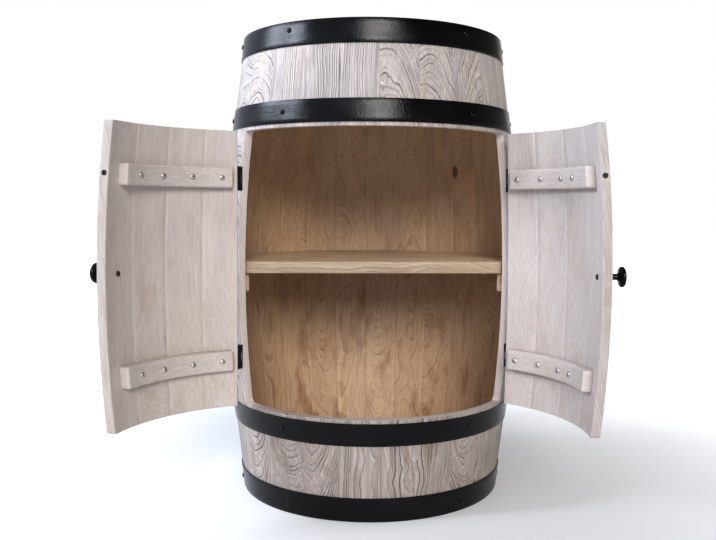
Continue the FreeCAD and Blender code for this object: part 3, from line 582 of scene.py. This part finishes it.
def painted_steel(name, shade, gloss, level):
    """Satin black paint on steel, with a fine orange peel, dusty in places and specked where it is worn."""
    finish, tree, shader = new_finish(name)
    place = add(tree, "TexCoord").outputs["Object"]
    peel = cloud(tree, place, (330, 330, 330), 2.0, 0.6)
    dust = cloud(tree, place, (12, 12, 30), 3.0, 0.6)
    speck = spread(tree, cloud(tree, place, (700, 700, 700), 1.0), 0.68, 0.78)
    colour = mix(tree, spread(tree, dust, 0.40, 0.75), shade, scaled(shade, 1.7))
    colour = mix(tree, times(tree, speck, 0.5), colour, scaled(shade, 5))
    rough = calc(tree, "MULTIPLY_ADD", spread(tree, dust, 0.3, 0.7), 0.14, gloss - 0.07)
    bump = add(tree, "Bump", {"Height": peel, "Strength": 1.0, "Distance": 0.00028})
    shader.inputs["Specular IOR Level"].default_value = level
    tree.links.new(colour, shader.inputs["Base Color"])
    tree.links.new(rough, shader.inputs["Roughness"])
    tree.links.new(bump.outputs[0], shader.inputs["Normal"])
    return finish


hoop_paint = painted_steel("hoop_paint", BLACK, gloss=0.24, level=0.22)
for label, (low, high) in HOOPS.items():
    turns = steps(LAP_START, LAP_END + math.tau, BEND_STEP)
    levels = steps(low, high, STRIP_STEP)
    bm = bent_board(turns, levels, lambda turn, z: wall_radius(z) + hoop_lift(turn) + STRIP,
                    lambda turn, z: wall_radius(z) + hoop_lift(turn))
    ease(bm, STRIP_EASE)
    piece = make_piece(f"{label}_hoop", bm)
    coat(piece, hoop_paint)
    hand_in(piece, "cabinet", f"hoop_{label}")

# ------------------------------------------------------------------ hoop screws and rivets
# Six short black screws with domed, cross-slotted heads hold each hoop to the wood, and two flat
# black rivets close it at the back.
HOOP_SCREW_TURNS = [math.radians(a) for a in (-127.5, -82.5, -37.5, 37.5, 82.5, 127.5)]
HOOP_SCREW_LEVELS = {"top": 0.7855, "upper": 0.6544, "lower": 0.1456, "bottom": 0.0145}
RIVET_TURNS = (math.radians(176), math.radians(184))
RIVET_PROFILE = ((0, -0.004), (0.0024, -0.004), (0.0025, 0), (0.0043, 0), (0.0045, 0.0004), (0.0042, 0.0011),
                 (0.0034, 0.0016), (0.0020, 0.0019), (0, 0.0020))
POINT_LONG = 0.003
BRIM_IN, BRIM_UP, DOME_FOOT = 0.96, 0.12, 0.25
CROSS_LONG, CROSS_WIDE, CROSS_TAPER = 0.55, 0.13, 0.45
CROSS_TOP, CROSS_FOOT = 1.3, 0.2
drill = random.Random(8)


def seat(turn, radius, level, inward=False, spin=0.0):
    """Where a fastener sits: its own Z looks out of the barrel, or into the room inside."""
    tilt = math.asin(max(-BEND_HALF, min(BEND_HALF, level - MIDDLE)) / BEND_RADIUS)
    out = on_barrel(turn, math.cos(tilt), math.sin(tilt)) * (-1 if inward else 1)
    flat = Vector((math.cos(turn), math.sin(turn), 0))
    axes = Matrix((flat, out.cross(flat), out)).transposed().to_4x4()
    return Matrix.Translation(on_barrel(turn, radius, level)) @ axes @ Matrix.Rotation(spin, 4, "Z")


def cross_screw(head, dome, shank, length):
    """A screw on Z with its seat at zero: a domed head with a cross driven into it, and its shank."""
    stem = [(0, -length), (shank / 2, -length), (shank, -length + POINT_LONG), (shank, 0)]
    brim = [(head * BRIM_IN, 0), (head, dome * BRIM_UP)]
    rise = [(head * math.cos(math.radians(a)),
             dome * (DOME_FOOT + (1 - DOME_FOOT) * math.sin(math.radians(a)))) for a in range(0, 90, 15)]
    piece = make_piece("screw", turned(stem + brim + rise + [(0, dome)]))
    knives = []
    for wide, tall in ((CROSS_LONG, CROSS_WIDE), (CROSS_WIDE, CROSS_LONG)):
        bm = bmesh.new()
        bmesh.ops.create_cube(bm, size=1)
        for v in bm.verts:
            narrow = 1 if v.co.z > 0 else CROSS_TAPER
            v.co = (v.co.x * wide * 2 * head * narrow, v.co.y * tall * 2 * head * narrow,
                    dome * (CROSS_TOP if v.co.z > 0 else CROSS_FOOT))
        knives.append(make_piece("knife", bm))
    carve(piece, knives)
    return piece


def copies(name, pattern, places):
    """One piece that repeats a pattern at each place; the pattern itself is taken away."""
    bm = bmesh.new()
    for place in places:
        known = len(bm.verts)
        bm.from_mesh(pattern.data)
        bm.verts.ensure_lookup_table()
        bmesh.ops.transform(bm, matrix=place, verts=bm.verts[known:])
    bpy.data.objects.remove(pattern)
    return make_piece(name, bm)


black_enamel = painted_steel("black_enamel", BLACK, gloss=0.24, level=0.30)
strip_face = HOOP_FIT + STRIP
places = [seat(turn, wall_radius(level) + strip_face, level, spin=drill.uniform(0, math.pi))
          for level in HOOP_SCREW_LEVELS.values() for turn in HOOP_SCREW_TURNS]
pattern = cross_screw(head=0.00425, dome=0.0024, shank=0.002, length=0.012)
piece = copies("hoop_screw_set", pattern, places)
coat(piece, black_enamel)
hand_in(piece, "cabinet", "hoop_screws")
places = [seat(turn, wall_radius(level) + strip_face + STRIP, level)
          for level in HOOP_SCREW_LEVELS.values() for turn in RIVET_TURNS]
piece = copies("hoop_rivet_set", make_piece("rivet", turned(RIVET_PROFILE)), places)
coat(piece, black_enamel)
hand_in(piece, "cabinet", "hoop_rivets")

# ------------------------------------------------------------------ shelf
# One oiled pine board at half height, glued up from strips that run across. Its front is straight, its
# front corners are rounded and the rest follows the staves.
SHELF_TOP = 0.410
SHELF_THICK = 0.020
SHELF_FRONT = 0.120
SHELF_CORNER = 0.012
SHELF_EASE = 0.0016
SHELF_FIT = 0.0006
SHELF_STRIP = 0.060
SHELF_SEED = 71
LEVEL_FACE = 0.8
shelf_radius = wall_radius(SHELF_TOP - SHELF_THICK) - WALL - SHELF_FIT
shelf_half = math.sqrt(shelf_radius ** 2 - SHELF_FRONT ** 2)
round_turn = math.atan2(shelf_half, SHELF_FRONT)
rim = [on_barrel(a, shelf_radius, 0) for a in steps(round_turn, math.tau - round_turn, BEND_STEP)]
bm = bmesh.new()
bottom, top = [[bm.verts.new((p.x, p.y, z)) for p in rim] for z in (SHELF_TOP - SHELF_THICK, SHELF_TOP)]
bm.faces.new(bottom)
bm.faces.new(top)
for i in range(len(rim)):
    bm.faces.new((bottom[i - 1], bottom[i], top[i], top[i - 1]))
bmesh.ops.recalc_face_normals(bm, faces=bm.faces)
ease(bm, SHELF_CORNER, lambda a, b: a.xy == b.xy and abs(abs(a.x) - shelf_half) < CLOSE, 6)
ease(bm, SHELF_EASE, lambda a, b: a.z == b.z, 3)
piece = make_piece("shelf_board", bm)
lay_grain(piece, SHELF_SEED, place=(0, 0, MIDDLE), across=(0, 1, 0), along=(1, 0, 0))
# Its crest tone too is a painted highlight for the late-wood ridges, and the light threads' tone.
SHELF_TONES = {"pale": tint(230, 209, 184), "grey": tint(214, 191, 164), "warm": tint(232, 207, 176),
               "streak": tint(192, 165, 136), "late": tint(142, 111, 82), "crest": tint(240, 222, 199),
               "bare": tint(182, 151, 120), "knot": tint(104, 75, 54)}


def darker_tones(tones, share):
    """The same tones made darker by a share."""
    return {name: scaled(tone, share) for name, tone in tones.items()}


shelf_pine = pine("shelf_pine", SHELF_TONES, ring=0.0032, dark=0.55, relief=0.0003, fibre=0.30, gloss=0.42,
                  strip=SHELF_STRIP)
shelf_edge_pine = pine("shelf_edge_pine", darker_tones(SHELF_TONES, 0.60), ring=0.0032, dark=0.50, relief=0.0003,
                       fibre=0.30, gloss=0.42)
coat(piece, shelf_pine, shelf_edge_pine)
for face in piece.data.polygons:
    face.material_index = 0 if abs(face.normal.z) > LEVEL_FACE else 1
hand_in(piece, "cabinet", "shelf")

# ------------------------------------------------------------------ shelf cleats and their screws
# Two curved bars, one at each side, carry the shelf. Each is sawn from one board, rounded where it can
# be touched and held by three bright screws driven from the inside.
SIDES = {"left": LEFT, "right": RIGHT}
CLEAT_TURNS = (math.radians(64), math.radians(113.5))
CLEAT_LEVELS = (0.357, 0.390)
BAR_THICK = 0.015
BAR_STEP = 0.007
END_EASE = 0.0040
CLEAT_EASE = 0.0042
BAR_BACK_EASE = 0.0008
FRONT_REACH = 0.002
CLEAT_SEED = 80
CLEAT_SCREW_TURNS = [math.radians(a) for a in (68, 88, 109)]
HEAD_LIFT = 0.0002
PAN_HEAD = {"head": 0.00425, "dome": 0.0026, "shank": 0.002}
BAR_SCREW = 0.024


def plain_inside(turn, z):
    """Inner face of a stave without grooves."""
    return wall_radius(z) - WALL


def curved_bar(name, turns, levels, easing, seed, finish):
    """A bar along the inside of the wall, rounded where it can be touched, with its grain along it."""
    bm = bent_board(steps(*turns, BEND_STEP), steps(*levels, BAR_STEP),
                    plain_inside, lambda turn, z: plain_inside(turn, z) - BAR_THICK)
    limit = BELLY_RADIUS - WALL - BAR_THICK + FRONT_REACH
    ease(bm, END_EASE, lambda a, b: abs(a.xy.length - b.xy.length) > BAR_THICK / 2, 4)
    ease(bm, easing, lambda a, b: max(a.xy.length, b.xy.length) < limit, 5)
    ease(bm, BAR_BACK_EASE)
    piece = make_piece(name, bm)
    middle = sum(turns) / 2
    lay_grain(piece, seed, place=on_barrel(middle, BELLY_RADIUS, levels[0]), across=(0, 0, 1),
              along=(math.cos(middle), math.sin(middle), 0))
    coat(piece, finish)
    return piece


def plated(name, metal, grain, light, dark, smoothest, roughest):
    """Mottled plating on a small fitting."""
    finish, tree, shader = new_finish(name)
    shader.inputs["Metallic"].default_value = metal
    spot = cloud(tree, add(tree, "TexCoord").outputs["Object"], (grain, grain, grain), 3.0)
    tree.links.new(mix(tree, spot, light, dark), shader.inputs["Base Color"])
    tree.links.new(spread(tree, spot, 0.3, 0.7, smoothest, roughest), shader.inputs["Roughness"])
    return finish


bright_zinc = plated("bright_zinc", metal=1.0, grain=900, light=tint(214, 212, 210),
                     dark=tint(178, 176, 176), smoothest=0.40, roughest=0.56)
cleat_middle = sum(CLEAT_LEVELS) / 2
cleat_face = wall_radius(cleat_middle) - WALL - BAR_THICK - HEAD_LIFT
places = []
for label, side in SIDES.items():
    piece = curved_bar(f"{label}_cleat", sorted(side * a for a in CLEAT_TURNS), CLEAT_LEVELS, CLEAT_EASE,
                       CLEAT_SEED + side, oiled_pine)
    hand_in(piece, "cabinet", f"{label}_shelf_cleat")
    places += [seat(side * a, cleat_face, cleat_middle, inward=True, spin=drill.uniform(0, math.pi))
               for a in CLEAT_SCREW_TURNS]
piece = copies("cleat_screw_set", cross_screw(**PAN_HEAD, length=BAR_SCREW), places)
coat(piece, bright_zinc)
hand_in(piece, "cabinet", "cleat_screws")

# ------------------------------------------------------------------ door staves
# The wood cut out of the doorway makes two doors of four staves each. They are limed all over, smoother
# inside, and their free edges and corners are rounded by hand.
DOOR_HALF = 0.2265
DOOR_GAP = 0.0012
EDGE_GAP = 0.002
EDGE_SLOPE = 0.2126
DOOR_CORNER = 0.004
FREE_EDGE_EASE = 0.0020
DOOR_END_EASE = 0.0015
DOOR_JOINT_EASE = 0.0002
DOOR_SEEDS = {"left": 83, "right": 100}
MAGNET_LEVEL = 0.551
MAGNET_HOLE = ((0, -0.0052), (0.0042, -0.0052), (0.0042, 0.0020), (0, 0.0020))
joints = {joint["name"]: joint for joint in frame["joints"]}


def open_door(piece, side_name):
    """Turn a piece of a door from where it was made, shut, to where the door stands."""
    joint = joints[f"{side_name}_door_hinge"]
    pin = Matrix.Translation(joint["pos_m"])
    turn = Matrix.Rotation(-math.radians(joint["range_deg"][0]), 4, joint["axis"])
    piece.data.transform(pin @ turn @ pin.inverted())


def magnet_place(side):
    """Where a round magnet is let into a door's free edge; its own Z looks out of the edge."""
    middle = wall_radius(MAGNET_LEVEL) - WALL / 2
    across = Matrix.Rotation(-side * math.pi / 2, 4, "Y")
    return Matrix.Translation((side * DOOR_GAP, -middle, MAGNET_LEVEL)) @ across


# Painted shade: the doors' edges take the sanded tones darkened, as the lamps light them too brightly.
door_edge_shaded_pine = pine("door_edge_shaded_pine", darker_tones(SANDED_TONES, 0.80), ring=0.0034, dark=0.22, relief=0.0001,
                      fibre=0.30, gloss=0.58)
ends = {MIDDLE - DOOR_HALF, MIDDLE + DOOR_HALF}
for label, side in SIDES.items():
    foot, out, along = hinge_axes(side)
    inward = along * -side
    for number in range(1, 5):
        turns = sorted((side * STAVE_TURN * (number - 1), side * STAVE_TURN * number))
        bm = bent_board(steps(*turns, TURN_STEP), steps(*sorted(ends), LEVEL_STEP),
                        outer_radius, plain_inside)
        if number == 1:
            saw_off(bm, (side * DOOR_GAP, 0, 0), (-side, 0, 0))
            free = DOOR_GAP + HAIR
            ease(bm, DOOR_CORNER, lambda a, b: abs(a.x) < free and abs(b.x) < free and a.z == b.z, 4)
            ease(bm, FREE_EDGE_EASE,
                 lambda a, b: (abs(a.x) < free and abs(b.x) < free) or {a.z, b.z} <= ends, 3)
        elif number == 4:
            saw_off(bm, foot + inward * EDGE_GAP, -inward - out * EDGE_SLOPE)
            saw_off(bm, foot - out * ARRIS_DEPTH + inward * (EDGE_GAP + EDGE_SLOPE * ARRIS_DEPTH),
                    out - inward * ARRIS_SLOPE)
        if number > 1:
            ease(bm, DOOR_END_EASE, lambda a, b: {a.z, b.z} <= ends, 3)
        ease(bm, DOOR_JOINT_EASE, upright)
        piece = make_piece(f"{label}_door_plank_{number}", bm)
        if number == 1:
            bm = turned(MAGNET_HOLE)
            bmesh.ops.transform(bm, matrix=magnet_place(side), verts=bm.verts)
            carve(piece, [make_piece("knife", bm)])
        elif number == 4:
            carve(piece, seat_knives(side, 1))
        lay_stave_grain(piece, sum(turns) / 2, DOOR_SEEDS[label] + number)
        paint_plank(piece, smooth_pine, door_edge_shaded_pine)
        open_door(piece, label)
        hand_in(piece, f"{label}_door", f"{label}_door_stave_{number}")

# ------------------------------------------------------------------ door battens and their screws
# Two curved bars tie the staves of each door together from the inside, each held by four bright
# screws. They are sawn to the curve, rounded and limed like the door.
BATTEN_TURNS = (math.radians(6.5), math.radians(56))
BATTEN_LEVELS = {"upper": (0.5335, 0.5665), "lower": (0.2335, 0.2665)}
BATTEN_SCREW_TURNS = {"left": (14.4, 25.7, 38.9, 51.3), "right": (20, 28, 40, 52)}
BATTEN_EASE = 0.0032
BATTEN_SEEDS = {"left": 112, "right": 118}
for label, side in SIDES.items():
    places = []
    for name, levels in BATTEN_LEVELS.items():
        piece = curved_bar(f"{label}_{name}_bar", sorted(side * a for a in BATTEN_TURNS), levels,
                           BATTEN_EASE, BATTEN_SEEDS[label], smooth_pine)
        open_door(piece, label)
        hand_in(piece, f"{label}_door", f"{label}_{name}_batten")
        level = sum(levels) / 2
        radius = wall_radius(level) - WALL - BAR_THICK - HEAD_LIFT
        places += [seat(side * math.radians(a), radius, level, inward=True, spin=drill.uniform(0, math.pi))
                   for a in BATTEN_SCREW_TURNS[label]]
    piece = copies(f"{label}_batten_screw_set", cross_screw(**PAN_HEAD, length=BAR_SCREW), places)
    coat(piece, bright_zinc)
    open_door(piece, label)
    hand_in(piece, f"{label}_door", f"{label}_batten_screws")

# ------------------------------------------------------------------ knobs and magnets
# A turned black knob stands on each door near its free edge, held by a screw from inside that is
# coloured dark as painted shade of its hole. A round magnet let into each free edge keeps the doors shut.
# Dark mottled metal: the magnets' dull colour, and painted shade on the knob screws, which stand for a dark
# hole.
dull_nickel_and_shade = plated("dull_nickel_and_shade", metal=0.4, grain=600, light=tint(58, 55, 53),
                     dark=tint(36, 34, 33), smoothest=0.45, roughest=0.60)
KNOB_TURN = math.radians(7.6)
KNOB_LEVEL = 0.404
KNOB_PROFILE = ((0, 0), (0.0045, 0), (0.0045, 0.0120), (0.0048, 0.0146), (0.0058, 0.0166), (0.0078, 0.0178),
                (0.0106, 0.0184), (0.0132, 0.0190), (0.0147, 0.0200), (0.0154, 0.0213), (0.0155, 0.0226),
                (0.0151, 0.0239), (0.0140, 0.0250), (0.0118, 0.0258), (0.0080, 0.0267), (0.0040, 0.0273),
                (0, 0.0275))
KNOB_SCREW = 0.0235
KNOB_SCREW_SPIN = 0.4
MAGNET_PROFILE = ((0, -0.005), (0.0038, -0.005), (0.0040, -0.0048), (0.0040, -0.0003), (0.0037, 0),
                  (0.0018, 0), (0.0014, -0.0012), (0, -0.0013))
for label, side in SIDES.items():
    piece = make_piece(f"{label}_turned_knob", turned(KNOB_PROFILE, 48))
    piece.data.transform(seat(side * KNOB_TURN, wall_radius(KNOB_LEVEL), KNOB_LEVEL))
    coat(piece, black_enamel)
    open_door(piece, label)
    hand_in(piece, f"{label}_door", f"{label}_knob")
    place = seat(side * KNOB_TURN, wall_radius(KNOB_LEVEL) - WALL - HEAD_LIFT, KNOB_LEVEL,
                 inward=True, spin=KNOB_SCREW_SPIN)
    piece = copies(f"{label}_knob_fixing", cross_screw(**PAN_HEAD, length=KNOB_SCREW), [place])
    # Painted shade: the knob screw is dark to stand in for the shadow of the hole it is sunk in.
    coat(piece, dull_nickel_and_shade)
    open_door(piece, label)
    hand_in(piece, f"{label}_door", f"{label}_knob_screw")
    bm = turned(MAGNET_PROFILE)
    bmesh.ops.transform(bm, matrix=magnet_place(side), verts=bm.verts)
    piece = make_piece(f"{label}_magnet_disc", bm)
    coat(piece, dull_nickel_and_shade)
    open_door(piece, label)
    hand_in(piece, f"{label}_door", f"{label}_magnet")

# ------------------------------------------------------------------ hinges
# Four small butt hinges: leaves let into the wood, knuckles round an upright pin and flat screws,
# all black.
for name in ("left_hinge_frame_leaves", "right_hinge_frame_leaves", "left_hinge_door_leaves",
             "right_hinge_door_leaves", "hinge_pins", "frame_hinge_screws", "left_door_hinge_screws",
             "right_door_hinge_screws"):
    coat(frame["nodes"][name], black_enamel)

# ------------------------------------------------------------------ the studio
# A pale floor in front of a white backdrop, which glow a little, in a dimmer room. A large soft lamp
# shines from above the front; a bluish window of two panes to the left is mirrored in the hoops.
FLOOR_HALF = 14.0
bm = bmesh.new()
bmesh.ops.create_grid(bm, x_segments=2, y_segments=2, size=FLOOR_HALF)
floor = make_piece("floor", bm)
floor_paint, tree, shader = new_finish("floor_paint")
place = add(tree, "TexCoord").outputs["Object"]
dust = cloud(tree, place, (3, 3, 3), 3.0)
tree.links.new(mix(tree, dust, tint(208, 208, 208), tint(214, 214, 214)), shader.inputs["Base Color"])
away = spread(tree, distance(tree, place), 0.25, 1.6, 0.16, 1.0)
behind = spread(tree, add(tree, "SeparateXYZ", {0: place}).outputs[1], -1.0, -0.1)
tree.links.new(times(tree, away, behind), shader.inputs["Emission Strength"])
shader.inputs["Emission Color"].default_value = (1, 1, 1, 1)
shader.inputs["Roughness"].default_value = 0.9
coat(floor, floor_paint)

ROOM_LOW = (0.42, 0.40, 0.38, 1)
ROOM_HIGH = (0.16, 0.15, 0.14, 1)
WINDOW_SIDE = (0.74, 0.83, 1.0, 1)
WHITE = (1, 1, 1, 1)
world = bpy.data.worlds.new("white_room")
bpy.context.scene.world = world
world.use_nodes = True
tree = world.node_tree
aside, deep, high = add(tree, "SeparateXYZ", {0: add(tree, "TexCoord").outputs["Generated"]}).outputs
room = mix(tree, spread(tree, high, 0.10, 0.30), ROOM_LOW, ROOM_HIGH)
room = mix(tree, spread(tree, aside, -0.60, 0.35), WINDOW_SIDE, room)
room = mix(tree, spread(tree, deep, 0.78, 0.88), room, WHITE)
tree.links.new(room, tree.nodes["Background"].inputs["Color"])


def hang_lamp(lamp, place, target):
    """Put a lamp at a place, so that it looks at a target."""
    holder = bpy.data.objects.new(lamp.name, lamp)
    holder.location = place
    holder.rotation_euler = (Vector(target) - Vector(place)).to_track_quat("-Z", "Y").to_euler()
    bpy.context.scene.collection.objects.link(holder)


front_window = bpy.data.lights.new("front_window", "SUN")
front_window.energy = 2.8
front_window.angle = math.radians(24)
front_window.color = (1, 0.985, 0.965)
hang_lamp(front_window, place=(0.14, -2.74, 1.62), target=(0, 0, MIDDLE))
PANES = ((0.05, 0.70, 30), (-0.80, 0.40, 38))
PANE_TALL = 0.7
for along, wide, power in PANES:
    side_window = bpy.data.lights.new("side_window", "AREA")
    side_window.shape = "RECTANGLE"
    side_window.size, side_window.size_y = wide, PANE_TALL
    side_window.energy = power
    side_window.color = (0.80, 0.87, 1.0)
    hang_lamp(side_window, place=(-2.3, along, 1.65), target=(0, -0.1, 0.6))

CAMERA_PLACE = (-0.0718, -1.5414, 0.5081)
CAMERA_YAW, CAMERA_PITCH, CAMERA_ROLL = 0.0577, -0.0453, 0.0061
FRAME_WIDTH, FRAME_HEIGHT = 716, 540
FOCAL_PIXELS = 834.2
CENTRE_X, CENTRE_Y = 380.85, 242.25
camera = bpy.data.cameras.new("camera")
camera.sensor_width = 36.0
camera.lens = FOCAL_PIXELS / FRAME_WIDTH * camera.sensor_width
camera.shift_x = (FRAME_WIDTH / 2 - CENTRE_X) / FRAME_WIDTH
camera.shift_y = (CENTRE_Y - FRAME_HEIGHT / 2) / FRAME_WIDTH
ahead = Vector((math.sin(CAMERA_YAW) * math.cos(CAMERA_PITCH),
                math.cos(CAMERA_YAW) * math.cos(CAMERA_PITCH), math.sin(CAMERA_PITCH)))
level_right = ahead.cross(Vector((0, 0, 1))).normalized()
level_up = level_right.cross(ahead)
right = level_right * math.cos(CAMERA_ROLL) + level_up * math.sin(CAMERA_ROLL)
up = level_up * math.cos(CAMERA_ROLL) - level_right * math.sin(CAMERA_ROLL)
holder = bpy.data.objects.new("camera", camera)
holder.matrix_world = Matrix.Translation(CAMERA_PLACE) @ Matrix((right, up, -ahead)).transposed().to_4x4()
bpy.context.scene.collection.objects.link(holder)
bpy.context.scene.camera = holder
bpy.context.scene.view_settings.view_transform = "Standard"
bpy.context.scene.view_settings.gamma = 0.85
